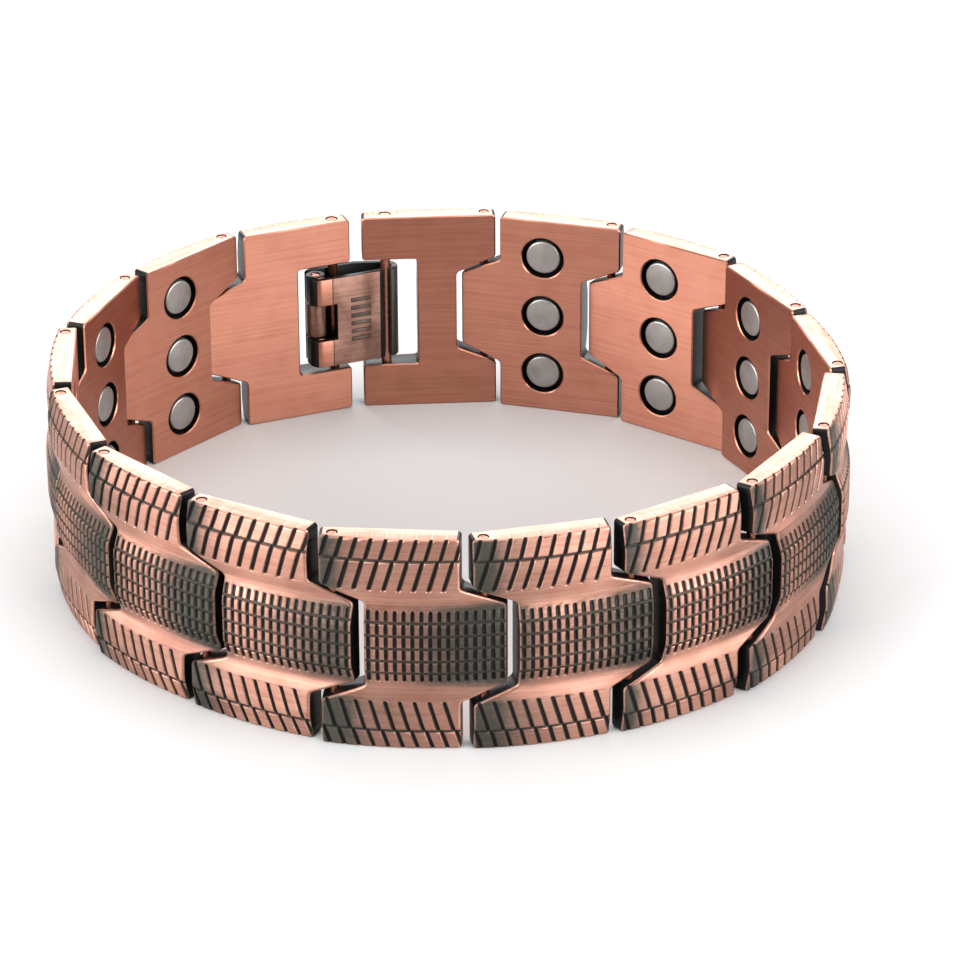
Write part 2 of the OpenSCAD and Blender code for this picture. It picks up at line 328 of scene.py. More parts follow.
def add_object(name, data):
    """Object in the scene for a mesh, a light or a camera"""
    thing = bpy.data.objects.new(name, data)
    bpy.context.scene.collection.objects.link(thing)
    return thing


# Sheet work: a link's outer face is cut from one flat sheet in the XZ plane,
# whose upper side faces -Y


def sheet(left, right, high):
    """One flat face, from left to right and from 0 to high"""
    bm = bmesh.new()
    bmesh.ops.create_grid(bm, x_segments=1, y_segments=1, size=0.5)
    bmesh.ops.rotate(bm, verts=bm.verts, cent=(0, 0, 0), matrix=Matrix.Rotation(pi / 2, 3, "X"))
    bmesh.ops.translate(bm, verts=bm.verts, vec=(0.5, 0, 0.5))
    bmesh.ops.scale(bm, verts=bm.verts, vec=(right - left, 1, high))
    bmesh.ops.translate(bm, verts=bm.verts, vec=(left, 0, 0))
    return bm


def spot(face):
    """Middle of a face, as x and z"""
    at = face.calc_center_median()
    return at.x, at.z


def cut(bm, at, across, where=None):
    """Cuts the faces that a line through the point (x, z) crosses"""
    point = Vector((at[0], 0, at[1]))
    normal = Vector((across[0], 0, across[1])).normalized()
    faces = []
    for face in bm.faces:
        if where is None or where(*spot(face)):
            sides = [(v.co - point).dot(normal) for v in face.verts]
            if min(sides) < -CLOSE and max(sides) > CLOSE:
                faces.append(face)
    verts = {v for face in faces for v in face.verts}
    edges = {e for face in faces for e in face.edges}
    bmesh.ops.bisect_plane(
        bm, geom=[*verts, *edges, *faces], dist=CLOSE, plane_co=point, plane_no=normal
    )


def drop(bm, where):
    """Takes away the faces whose middle is there"""
    faces = [face for face in bm.faces if where(*spot(face))]
    bmesh.ops.delete(bm, geom=faces, context="FACES")


def plan(size, pitch, kind):
    """The main places along and up a link of one kind"""
    high = band_height()
    shape = SimpleNamespace(kind=kind, high=high, mid=high / 2)
    shape.left = -size.pin_end
    shape.wall = shape.left + size.notch_deep
    shape.shoulder = pitch - size.pin_end - size.end_gap
    shape.right = shape.shoulder + size.tongue_len
    shape.slope = (size.wing_root_h - size.wing_h) / size.notch_deep
    shape.inner = size.pin_in
    shape.cheek = size.cheek_h
    shape.right_wall = shape.right
    if kind == "clasp_a":
        shape.left = shape.shoulder - size.clasp_a_len
        shape.wall = shape.left + size.clasp_notch
    if kind == "clasp_b":
        shape.right = shape.left + size.clasp_b_len
        shape.shoulder = shape.right
        shape.right_wall = shape.right - size.clasp_notch
    return shape


def cut_outline(bm, size, shape):
    """Cuts a link's notch, tongue or cheeks out of the sheet"""
    high, slope = shape.high, shape.slope

    def cut_level(wall, side):
        """Cuts out what lies between a clasp link's cheeks"""
        low_at, high_at = size.cheek_h, high - size.cheek_h
        cut(bm, (wall, 0), (1, 0))
        cut(bm, (0, high_at), (0, 1), side)
        cut(bm, (0, low_at), (0, 1), side)
        drop(bm, lambda x, z: side(x, z) and low_at < z < high_at)

    def cut_slanted(wall, start, rise, side, keeps_ends):
        """Cuts along two slanted lines, and drops what lies between or beyond them"""
        cut(bm, (wall, 0), (1, 0))
        cut(bm, (start, high - rise), (slope, 1), side)
        cut(bm, (start, rise), (-slope, 1), side)

        def is_end(x, z):
            """Whether a point lies above the upper line or below the lower one"""
            away = slope * (x - start)
            return z - (high - rise) + away > 0 or z - rise - away < 0

        drop(bm, lambda x, z: side(x, z) and is_end(x, z) != keeps_ends)

    if shape.kind == "clasp_a":
        cut_level(shape.wall, lambda x, z: x < shape.wall)
    else:
        cut_slanted(shape.wall, -size.pin_end, size.wing_h, lambda x, z: x < shape.wall, True)
    if shape.kind == "clasp_b":
        cut_level(shape.right_wall, lambda x, z: x > shape.right_wall)
    else:
        root = size.wing_h + size.tongue_gap - size.end_gap * slope
        end = shape.shoulder
        cut_slanted(end, end, root, lambda x, z: x > end, False)
    merge_flat(bm, 0.5)
    round_off(bm, bm.verts[:], size.corner, 3, "VERTICES")


def round_rim(bm, radius, steps=3):
    """Rounds the sheet's rim over a quarter circle and leaves its middle at Y = 0"""
    bmesh.ops.translate(bm, verts=bm.verts, vec=(0, radius, 0))
    inner = bm.faces[:]
    turns = [i * pi / 2 / steps for i in range(steps + 1)]
    for before, after in zip(turns, turns[1:]):
        inward = radius * (cos(before) - cos(after))
        inset(bm, inner, inward, radius * (sin(after) - sin(before)))
    inset(bm, inner, RIM_SUPPORT, 0)


# Share of the depth at shares of the half width of a groove
GROOVE_SECTION = [(0, 1), (0.42, 0.9), (0.74, 0.3), (1, 0)]


def between(table, at):
    """Value of a table between its rows"""
    for (x0, y0), (x1, y1) in zip(table, table[1:]):
        if at <= x1:
            return y0 + (y1 - y0) * (at - x0) / (x1 - x0)
    return table[-1][1]


def groove_depth(away, wide):
    """Share of a groove's depth at a distance from its middle line"""
    return between(GROOVE_SECTION, abs(away) / wide)


def ramp(value, start, end):
    """Straight rise from 0 at start to 1 at end"""
    return min(max((value - start) / (end - start), 0), 1)


def fade(value, start, end):
    """Smooth step from 0 at start to 1 at end"""
    share = ramp(value, start, end)
    return share * share * (3 - 2 * share)


class Pattern:
    """The grooves of one link: where they are cut and how deep each point lies"""

    def __init__(self, pattern, shape):
        self.p, self.s = pattern, shape
        self.lean = Vector((cos(pattern.wing_lean), -sin(pattern.wing_lean)))
        left, right = shape.left, shape.shoulder
        count = int((right - left) / pattern.wing_pitch + WING_SPARE)
        self.wing_at = [left + pattern.wing_pitch * (i + WING_FIRST) for i in range(count)]
        span = shape.right_wall - shape.wall
        count = int(span / pattern.panel_pitch + PANEL_SPARE)
        first = shape.wall + PANEL_FIRST * pattern.panel_pitch
        self.panel_at = [first + pattern.panel_pitch * i for i in range(count)]
        self.row_at = [shape.mid + pattern.row_pitch * i for i in range(-2, 3)]
        self.reach = pattern.wing_reach if shape.kind == "link" else shape.cheek - CHEEK_MARGIN

    def from_edge(self, z):
        """Distance from the nearer edge of the band"""
        return min(z, self.s.high - z)

    def wing_away(self, x, z, at):
        """Distance from a wing groove's middle line"""
        down = self.from_edge(z)
        shift = self.p.wing_shift if down > self.p.scribe_in else 0
        return (x - at + shift) * self.lean.x - down * self.lean.y

    def in_panel(self, x, z):
        """Whether a point is in the panel's field"""
        inside = self.s.wall < x < self.s.right_wall
        return inside and abs(z - self.s.mid) < self.p.panel_h / 2

    def deep(self, x, z):
        """Depth of the grooves at a point, in millimetres"""
        p, s = self.p, self.s
        down = self.from_edge(z)
        depth = 0
        if down <= self.reach:
            away = min(abs(self.wing_away(x, z, at)) for at in self.wing_at)
            end = fade(down, self.reach, self.reach - GROOVE_END)
            depth = p.deep * groove_depth(away, p.wide) * end
            line = groove_depth(down - p.scribe_in, p.row_wide)
            depth = max(depth, p.scribe_deep * line)
        half = abs(z - s.mid)
        if half <= p.panel_h / 2 and s.wall < x < s.right_wall:
            away = min(abs(x - at) for at in self.panel_at)
            end = fade(half, p.panel_h / 2, p.panel_h / 2 - GROOVE_END)
            depth = p.deep * groove_depth(away, p.wide) * end
            row = groove_depth(min(abs(z - at) for at in self.row_at), p.row_wide)
            depth = max(depth * (1 - ROW_CROSS * row), p.row_deep * row)
        return depth

    def cut(self, bm):
        """Cuts the sheet along the sides and middles of all grooves"""
        p, s = self.p, self.s
        offsets = [share * side for share, _ in GROOVE_SECTION for side in (-1, 1)][1:]
        for top in (False, True):
            edge, way = (s.high, -1) if top else (0, 1)
            across = (self.lean.x, -self.lean.y * way)

            def zone(low, high):
                """Test for a band along this edge"""
                return lambda x, z: low < (s.high - z if top else z) < high

            ends = [self.reach - back for back in (0, GROOVE_END / 2, GROOVE_END)]
            for line in (p.scribe_in, *ends):
                cut(bm, (0, edge + way * line), (0, 1))
            for share in offsets:
                if share:
                    cut(bm, (0, edge + way * (p.scribe_in + share * p.row_wide)), (0, 1))
            for at in self.wing_at:
                for share in offsets:
                    x = at + share * p.wide / self.lean.x
                    cut(bm, (x, edge), across, zone(0, p.scribe_in))
                    cut(bm, (x - p.wing_shift, edge), across, zone(p.scribe_in, self.reach))
        half = p.panel_h / 2
        for z in (half, half - GROOVE_END / 2, half - GROOVE_END):
            for side in (-1, 1):
                cut(bm, (0, s.mid + side * z), (0, 1))
        for at in self.panel_at:
            for share in offsets:
                cut(bm, (at + share * p.wide, 0), (1, 0), self.in_panel)
        for at in self.row_at:
            for share in offsets:
                cut(bm, (0, at + share * p.row_wide), (0, 1), self.in_panel)


def section_table(size):
    """Thickness of a link at distances from its edge: wing band, smooth strip, panel"""
    return [
        (0, size.edge_t),
        (2.4, size.wing_t),
        (4.9, size.wing_t - 0.1),
        (5.9, size.strip_t),
        (6.3, size.strip_t),
        (8.1, size.panel_t),
        (20, size.panel_t),
    ]


def soft_thickness(table, in_from_edge):
    """Thickness with the section's corners softened"""
    near = [max(in_from_edge + SECTION_BLUR * i / 2, 0) for i in (-2, -1, 0, 1, 2)]
    return sum(between(table, x) for x in near) / len(near)


def emboss(bm, size, shape, pattern):
    """Lifts the flat sheet to the cambered, stepped and grooved outer face"""
    table = section_table(size)
    groove = bm.verts.layers.float.new("groove")
    rim = bm.verts.layers.float.new("rim")
    outside = bm.verts.layers.float.new("outside")
    axis_y = shape.inner + size.camber_r - size.wing_t
    for vert in bm.verts:
        x, z = vert.co.x, vert.co.z
        depth = pattern.deep(x, z)
        round_r = size.camber_r - size.wing_t + soft_thickness(table, min(z, shape.high - z))
        surface_y = axis_y - sqrt(round_r**2 - (x - size.camber_x) ** 2)
        flat_drop = vert.co.y
        vert.co.y = surface_y + max(flat_drop, depth)
        vert[groove] = depth / pattern.p.deep
        vert[rim] = flat_drop / size.rim
        vert[outside] = 1


def close_back(bm, size, shape):
    """Draws the rim in to the inner face, breaks its edge and closes it"""
    rim = [edge for edge in bm.edges if edge.is_boundary]
    outside = bm.verts.layers.float["outside"]
    groove = bm.verts.layers.float["groove"]
    grown = bmesh.ops.extrude_edge_only(bm, edges=rim)["geom"]
    for vert in only(BMVert, grown):
        vert.co.y = shape.inner - size.inner_rim
        vert[outside] = 0
        vert[groove] = 0
    loop = [edge for edge in only(BMEdge, grown) if edge.is_boundary]
    back = bmesh.ops.edgeloop_fill(bm, edges=loop)["faces"]
    bmesh.ops.recalc_face_normals(bm, faces=bm.faces)
    inset(bm, back, size.inner_rim, size.inner_rim)
    return back[0]


def drill(bm, faces, centres, radius, rim, deep, segments):
    """Drills round holes with a broken rim into flat faces, and closes their floors"""
    normal = faces[0].normal.copy()
    inside = set(faces)
    around = [e for f in faces for e in f.edges if sum(g in inside for g in e.link_faces) == 1]
    bmesh.ops.delete(bm, geom=faces, context="FACES_KEEP_BOUNDARY")
    turn = normal.to_track_quat("Z", "Y").to_matrix().to_4x4()
    rings = []
    for centre in centres:
        place = Matrix.Translation(centre) @ turn
        ring = bmesh.ops.create_circle(bm, segments=segments, radius=radius + rim, matrix=place)
        rings.append(list({e for v in ring["verts"] for e in v.link_edges}))
    bmesh.ops.triangle_fill(
        bm, use_beauty=True, edges=around + [e for ring in rings for e in ring], normal=normal
    )
    for centre, ring in zip(centres, rings):
        back = Matrix.Translation(-Vector(centre))
        for inward, grow in ((rim, radius / (radius + rim)), (deep - rim, 1)):
            grown = bmesh.ops.extrude_edge_only(bm, edges=ring)["geom"]
            verts = only(BMVert, grown)
            bmesh.ops.scale(bm, vec=(grow, grow, grow), space=back, verts=verts)
            bmesh.ops.translate(bm, vec=-normal * inward, verts=verts)
            ring = only(BMEdge, grown)
            back = Matrix.Translation(-Vector(centre) + normal * inward)
        bmesh.ops.edgeloop_fill(bm, edges=ring)


def edge_faces(bm, x, half, z):
    """Faces of the upper or lower edge near a place along the link"""

    def is_near(vert):
        """Whether a corner lies on the edge and near the place"""
        return abs(vert.co.z - z) < MERGE and abs(vert.co.x - x) < half

    return [face for face in bm.faces if all(is_near(vert) for vert in face.verts)]


def link_form(size, pattern_size, magnet, pitch, kind):
    """One link of a kind, in its own frame, in millimetres"""
    shape = plan(size, pitch, kind)
    bm = sheet(shape.left, shape.right, shape.high)
    cut_outline(bm, size, shape)
    round_rim(bm, size.rim)
    x = shape.left + CAMBER_FIRST
    while x < shape.right - CAMBER_LAST:
        cut(bm, (x, 0), (1, 0))
        x += CAMBER_STEP
    for corner, _ in section_table(size)[1:-1]:
        for z in (corner - SECTION_BLUR, corner, corner + SECTION_BLUR):
            cut(bm, (0, z), (0, 1))
            cut(bm, (0, shape.high - z), (0, 1))
    pattern = Pattern(pattern_size, shape)
    pattern.cut(bm)
    emboss(bm, size, shape, pattern)
    back = close_back(bm, size, shape)
    along = shape.left + magnet.along
    steps = (-1, 0, 1) if kind == "link" else ()
    centres = [Vector((along, shape.inner, shape.mid + i * magnet.spread)) for i in steps]
    radius, deep = magnet.pocket_d / 2, magnet.pocket_deep
    drill(bm, [back], centres, radius, POCKET_RIM, deep, DISC_SEGMENTS)
    bores = {
        "link": [(0, size.pin_d)],
        "clasp_a": [(shape.left + size.bar_a_in, size.bar_d)],
        "clasp_b": [(0, size.pin_d), (shape.right - size.bar_b_in, size.bar_d)],
    }
    for x, d in bores[kind]:
        for z in (0, shape.high):
            faces = edge_faces(bm, x, d + BORE_FIELD, z)
            if not faces:
                raise RuntimeError(f"no edge face for a bore at {x}, {z}")
            centre, radius = Vector((x, 0, z)), d / 2 + BORE_PLAY
            drill(bm, faces, [centre], radius, BORE_RIM, BORE_DEEP, BORE_SEGMENTS)
    bmesh.ops.recalc_face_normals(bm, faces=bm.faces)
    return bm, shape


def outer_tarnish(x, z, rim, shape, wear):
    """Share of dark finish on the outer face's raised metal; distances in mm"""
    half = abs(z - shape.mid)
    reach = wear.upper if z > shape.mid else wear.lower
    start = x - shape.left
    wing = fade(shape.high / 2 - half, 6.3, 4.3)
    wash = 0.7 * (1 - fade(start, 0.1, 0.7 * reach)) + 0.42 * (1 - fade(start, 0.1, 1.8 * reach))
    wash = wing * (wash + (0.2 if z > shape.mid else 0.3))
    panel = fade(half, 4.9, 3.3)
    tip = wear.strength * ramp(x, shape.right_wall - wear.tip - 1.5, shape.right_wall - 1.6)
    root = 0.4 * (1 - fade(x, shape.wall, shape.wall + wear.root))
    wash = max(wash, panel * (wear.panel + max(tip, root)))
    wash = max(wash, 0.7 * fade(x, shape.right - 3.4, shape.right) * fade(half, 5.2, 3.6))
    wash = max(wash, 0.5 * (1 - fade(start, 0, 0.9)), wear.film)
    return min(wash, 0.95) * (1 - 0.65 * min(rim * 1.5, 1))


def face_kind(face, shape, outside):
    """Which part of a link a face belongs to"""
    if all(vert[outside] for vert in face.verts):
        return "outer"
    ends = (0, shape.high)
    if any(all(abs(vert.co.z - end) < ON_EDGE for vert in face.verts) for end in ends):
        return "edge"
    if all(vert.co.y > shape.inner - INNER_BAND for vert in face.verts):
        return "inner"
    return "wall"


# Dark finish, blackening and paleness of the faces other than the outer one: the blackening of the
# walls is painted shade in the gaps between links, the notches and the pockets, and the paleness
# of the edges is wear with a painted highlight
FACE_STAIN_AND_PAINTED_LIGHT = {"edge": (0.02, 0, 0.9), "inner": (0.03, 0, 0), "wall": (1, 1, 0)}
OUTER_WORN = 0.6
GROOVE_BLACK = 0.9
# Layers for the dark finish, the black and the paleness; on the walls they carry painted shade, on
# the edges a painted highlight
STAIN_AND_PAINTED_LIGHT_LAYERS = ("tarnish_and_shade", "crevice", "worn")

# What differs from link to link, drawn in this order: reach of the wings' wash, finish on
# the panel, film over all, and the dark fields at the tongue and the notch
WEAR = {
    "upper": (1.5, 5.5),
    "lower": (2, 6),
    "panel": (0.22, 0.5),
    "film": (0.04, 0.12),
    "tip": (5.5, 10),
    "root": (0.6, 2.5),
    "strength": (0.45, 0.85),
}


def place_link(bm_source, name, shape, place, wear):
    """Object for one link: a copy of its form, stained, with painted shade on its walls and a
    painted highlight on its edges, set in its place
    """
    bm = bm_source.copy()
    groove, rim, outside = (bm.verts.layers.float[key] for key in ("groove", "rim", "outside"))
    tarnish_and_shade, crevice, worn = (bm.loops.layers.float.new(key) for key in STAIN_AND_PAINTED_LIGHT_LAYERS)
    along = bm.verts.layers.float_vector.new("spot")
    flat = set()
    for vert in bm.verts:
        vert[along] = vert.co + Vector((wear.offset, 0, 0))
    for face in bm.faces:
        kind = face_kind(face, shape, outside)
        if kind in ("edge", "inner"):
            flat.add(face)
        if kind == "edge":
            face.material_index = 1
        for loop in face.loops:
            vert = loop.vert
            if kind == "outer":
                loop[tarnish_and_shade] = outer_tarnish(vert.co.x, vert.co.z, vert[rim], shape, wear)
                loop[crevice] = GROOVE_BLACK * vert[groove] * (1 - 0.8 * vert[rim])
                loop[worn] = OUTER_WORN
            else:
                loop[tarnish_and_shade], loop[crevice], loop[worn] = FACE_STAIN_AND_PAINTED_LIGHT[kind]
    return finish_object(bm, name, place, lambda face: face in flat)


def finish_object(bm, name, place, is_flat=None):
    """Moves a form in millimetres to its place in the frame, as a shaded object"""
    for face in bm.faces:
        face.smooth = not (is_flat and is_flat(face))
    bm.transform(Matrix.Scale(MM, 4) @ place)
    mesh = bpy.data.meshes.new(name)
    bm.to_mesh(mesh)
    bm.free()
    mesh.set_sharp_from_angle(angle=radians(SHARP_ANGLE))
    return add_object(name, mesh)


# The clasp's sheet metal


def soften(node, place):
    """Copy of a frame node in a link's frame, with its doubles merged and its edges rounded"""
    bm = bmesh.new()
    bm.from_mesh(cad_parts[node].data)
    bm.transform(place.inverted() @ Matrix.Scale(1 / MM, 4))
    bmesh.ops.remove_doubles(bm, verts=bm.verts, dist=MERGE)
    merge_flat(bm, 1)
    bend = radians(CORNER_ANGLE)
    corners = [e for e in bm.edges if e.is_manifold and e.calc_face_angle(0) > bend]
    round_off(bm, corners, SHEET_RIM, 2)
    bm.normal_update()
    return bm


def stain_and_shade_faces(bm, stain_and_shade_of):
    """Gives each face its stains and painted shade, from its middle and its normal"""
    layers = [bm.loops.layers.float.new(key) for key in STAIN_AND_PAINTED_LIGHT_LAYERS]
    along = bm.verts.layers.float_vector.new("spot")
    for vert in bm.verts:
        vert[along] = vert.co + Vector((CLASP_SPOT, 0, 0))
    for face in bm.faces:
        stain_and_shade = stain_and_shade_of(face.calc_center_median(), face.normal)
        for loop in face.loops:
            for layer, value in zip(layers, stain_and_shade):
                loop[layer] = value


def stain_and_shade_plate(bm, clasp, hinge, high):
    """Darkens the clasp plate but for its outer face, as painted shade inside the clasp: black,
    dark at the hook and half dark at the knuckle
    """

    def stain_and_shade_of(at, normal):
        if normal.y < -0.6:
            return 0.05, 0, OUTER_WORN
        if abs(at.x - hinge.x) < clasp.knuckle and abs(at.z - high / 2) < clasp.knuckle_half:
            return 0.65, 0, 0
        return (0.97, 0, 0) if hinge.x - at.x > clasp.hook_at else (1, 1, 0)

    stain_and_shade_faces(bm, stain_and_shade_of)


def stain_and_shade_lever(bm, clasp, hinge):
    """Leaves the lever's inner face bare by its hinge and gives the rest a dark finish, with a
    creased line; blackens its edges and its end as painted shade
    """
    for reach in (clasp.crease, clasp.crease + clasp.crease_wide, clasp.end_line):
        bmesh.ops.bisect_plane(
            bm,
            geom=[*bm.verts, *bm.edges, *bm.faces],
            dist=CLOSE,
            plane_co=(hinge.x - reach, 0, 0),
            plane_no=(1, 0, 0),
        )

    def stain_and_shade_of(at, normal):
        reach = hinge.x - at.x
        if normal.y < 0.85:
            return 1, 1, 0
        if reach < clasp.crease:
            return 0.05, 0, 0
        if reach < clasp.crease + clasp.crease_wide:
            return 0.8, 0.5, 0
        if reach > clasp.end_line:
            return 1, 1, 0
        return 0.55, 0, 0.6

    stain_and_shade_faces(bm, stain_and_shade_of)


def grip_form(clasp, hinge, high, level, normal):
    """Plain ridges across the lever's inner face"""
    bm = bmesh.new()
    pitch = clasp.grip_high / clasp.grip_count
    for i in range(clasp.grip_count):
        bar = bmesh.ops.create_cube(bm, size=1)["verts"]
        bmesh.ops.scale(bm, verts=bar, vec=(clasp.grip_long, clasp.grip_up * 2, pitch * 0.5))
        z = high / 2 + pitch * (i - (clasp.grip_count - 1) / 2)
        bmesh.ops.translate(bm, verts=bar, vec=(0, 0, z))
    round_off(bm, bm.edges[:], GRIP_RIM, 2)
    x = hinge.x - clasp.grip_at
    y = level.y - (x - level.x) * normal.x / normal.y
    bmesh.ops.translate(bm, verts=bm.verts, vec=(x, y, 0))
    bm.normal_update()
    stain_and_shade_faces(bm, lambda at, face_normal: (0.85, 0, 0.6) if face_normal.y > 0.8 else (1, 1, 0))
    return bm


# Materials


class Socket:
    """Output of a shader node that takes part in sums"""

    def __init__(self, paint, output):
        self.paint = paint
        self.output = output

    def _with(self, operation, *values):
        """Math node of that operation"""
        return self.paint.add("ShaderNodeMath", {"operation": operation}, dict(enumerate(values)))

    def __add__(self, other):
        return self._with("ADD", self, other)

    def __radd__(self, other):
        return self._with("ADD", other, self)

    def __sub__(self, other):
        return self._with("SUBTRACT", self, other)

    def __rsub__(self, other):
        return self._with("SUBTRACT", other, self)

    def __mul__(self, other):
        return self._with("MULTIPLY", self, other)

    def __rmul__(self, other):
        return self._with("MULTIPLY", other, self)

    def fade(self, start, end):
        """Smooth step from 0 at start to 1 at end"""
        return self.paint.add(
            "ShaderNodeMapRange",
            {"interpolation_type": "SMOOTHSTEP"},
            {"Value": self, "From Min": start, "From Max": end},
        )


class Paint:
    """Node tree of one material, whose main shader is a Principled BSDF"""

    def __init__(self, name):
        self.material = bpy.data.materials.new(name)
        self.material.use_nodes = True
        self.tree = self.material.node_tree
        self.shader = self.tree.nodes["Principled BSDF"]

    def add(self, kind, settings=None, inputs=None, output=0):
        """Adds a node, sets it up, feeds its sockets and gives one output"""
        node = self.tree.nodes.new(kind)
        for name, value in (settings or {}).items():
            setattr(node, name, value)
        for key, value in (inputs or {}).items():
            self.feed(node.inputs[key], value)
        return Socket(self, node.outputs[output])

    def feed(self, socket, value):
        """Links a socket or sets its constant"""
        if isinstance(value, Socket):
            self.tree.links.new(value.output, socket)
        elif hasattr(socket.default_value, "__len__") and len(socket.default_value) == 4:
            socket.default_value = (*value[:3], 1)
        else:
            socket.default_value = value

    def attribute(self, name, output):
        """Attribute of the mesh"""
        return self.add("ShaderNodeAttribute", {"attribute_name": name}, output=output)

    def place(self):
        """Object coordinates in millimetres"""
        at = self.add("ShaderNodeTexCoord", output="Object")
        return self.stretch(at, (1 / MM, 1 / MM, 1 / MM))

    def stretch(self, vector, by):
        """Coordinates multiplied axis by axis"""
        return self.add("ShaderNodeVectorMath", {"operation": "MULTIPLY"}, {0: vector, 1: by})

    def noise(self, vector, scale, detail=3, rough=0.5):
        """Noise with its middle near 0.5"""
        inputs = {"Vector": vector, "Scale": scale, "Detail": detail, "Roughness": rough}
        return self.add("ShaderNodeTexNoise", inputs=inputs)

    def mix(self, share, first, second):
        """Mixes two colours"""
        inputs = {0: share, 6: first, 7: second}
        return self.add("ShaderNodeMix", {"data_type": "RGBA"}, inputs, output=2)

    def bump(self, height, strength, distance_mm):
        """Normal from a height"""
        inputs = {"Height": height, "Strength": strength, "Distance": distance_mm * MM}
        return self.add("ShaderNodeBump", inputs=inputs)

    def finish(self, **inputs):
        """Feeds the shader's inputs, with _ for a space in a name"""
        for name, value in inputs.items():
            self.feed(self.shader.inputs[name.replace("_", " ")], value)
        return self.material


def copper_paint(finish, name="aged_copper", brushed=None):
    """Satin copper, brushed along the band, with a dark finish where the mesh is stained: patina
    and oxide on the outer faces, painted shade on the walls and inside the clasp
    """
    paint = Paint(name)
    brushed = finish.brushed if brushed is None else brushed
    at = paint.attribute("spot", "Vector")
    tarnish_and_shade = paint.attribute("tarnish_and_shade", "Fac")
    crevice = paint.attribute("crevice", "Fac")
    worn = paint.attribute("worn", "Fac")
    cloud = paint.noise(at, 0.5) - 0.5
    speck = paint.noise(at, 3.0, 4, 0.6) - 0.5
    brush = paint.noise(paint.stretch(at, (0.05, 1, 2.6)), 1.6, 5, 0.7) - 0.5
    fine = paint.noise(paint.stretch(at, (0.14, 1, 15)), 1.2, 2, 0.6) - 0.5
    patches = cloud * 0.5 + speck * 0.4 + brush * 0.3
    # The tarnish share is patina on the outer faces and painted shade on the walls and inside the
    # clasp; the crevice share blackens the grooves and paints shade on the walls
    film = (tarnish_and_shade + patches * tarnish_and_shade + brush * 0.08).fade(0, 1)
    line = crevice.fade(0.08, 0.42)
    black = (crevice + speck * 0.2).fade(0.55, 0.82)
    streaks = (brush * 1.5 + fine * 0.9 + cloud * 0.7).fade(-0.45, 0.75)
    # Paler copper from wear, and on the band's edges a painted highlight
    rubbed_and_sheen = paint.mix(worn, finish.copper, finish.copper_worn_and_sheen)
    bare = paint.mix(streaks, rubbed_and_sheen, finish.copper_deep)
    stained = paint.mix(film, bare, finish.patina)
    dark = tuple((thin + thick) / 2 for thin, thick in zip(finish.patina, finish.black))
    lined = paint.mix(line * 0.9, stained, dark)
    tint = paint.mix(black, lined, finish.black)
    stain_and_shade = 1 - (1 - film) * (1 - line)
    rough = finish.copper_gloss + brush * 0.12 + fine * 0.1
    rough = rough + stain_and_shade * (finish.patina_gloss - finish.copper_gloss)
    rough = rough + black * (finish.black_gloss - finish.patina_gloss)
    height = brush * 0.4 + fine * 0.6 + speck * stain_and_shade * 0.8
    return paint.finish(
        Anisotropic=brushed,
        Anisotropic_Rotation=0.25,
        Specular_IOR_Level=0.2,
        Base_Color=tint,
        Metallic=1 - stain_and_shade * 0.4 - black * 0.35,
        Roughness=rough,
        Normal=paint.bump(height, 0.3, 0.02),
    )


def edge_paint(finish):
    """The same copper on the band's edges, ground without a direction"""
    return copper_paint(finish, "edge_copper", 0)


def magnet_paint(finish):
    """Satin grey magnet with a finely ground face"""
    paint = Paint("magnet_face")
    place = paint.place()
    cloud = paint.noise(place, 0.7)
    grain = paint.noise(place, 9, 3, 0.6)
    dull = tuple(c * 0.7 for c in finish.steel)
    return paint.finish(
        Base_Color=paint.mix((cloud * 0.6 + grain * 0.4).fade(0.3, 0.75), finish.steel, dull),
        Metallic=0.9,
        Roughness=0.45 + (grain - 0.5) * 0.15,
        Normal=paint.bump(grain, 0.15, 0.02),
    )


def pin_paint(finish):
    """Copper-plated pin, rubbed at its end"""
    paint = Paint("pin_end")
    place = paint.place()
    speck = paint.noise(place, 4, 3, 0.6)
    dark = tuple(c * 0.3 for c in finish.copper_deep)
    return paint.finish(
        Base_Color=paint.mix(speck.fade(0.25, 0.7), finish.copper_deep, dark),
        Metallic=1.0,
        Roughness=0.35 + (speck - 0.5) * 0.3,
    )


def bar_paint(finish):
    """Bare bar that the lever rubs clean"""
    paint = Paint("clasp_bar_skin")
    place = paint.place()
    rings = paint.noise(paint.stretch(place, (1, 1, 4)), 1.5)
    return paint.finish(
        Base_Color=paint.mix(rings.fade(0.3, 0.8), finish.copper, finish.copper_deep),
        Metallic=1.0,
        Roughness=0.38 + (rings - 0.5) * 0.15,
    )


def paint_of(name, make):
    """Material of that name, made once"""
    finish = bpy.context.scene.bracelet_finish
    return bpy.data.materials.get(name) or make(finish)


def dress(piece, paint, slot, *nodes, body=BODY):
    """Gives a piece its material and body, and hides the nodes that it replaces; the slot argument
    is not used
    """
    piece.data.materials.append(paint)
    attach(piece, body)
    if nodes:
        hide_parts(*nodes)


# Operators


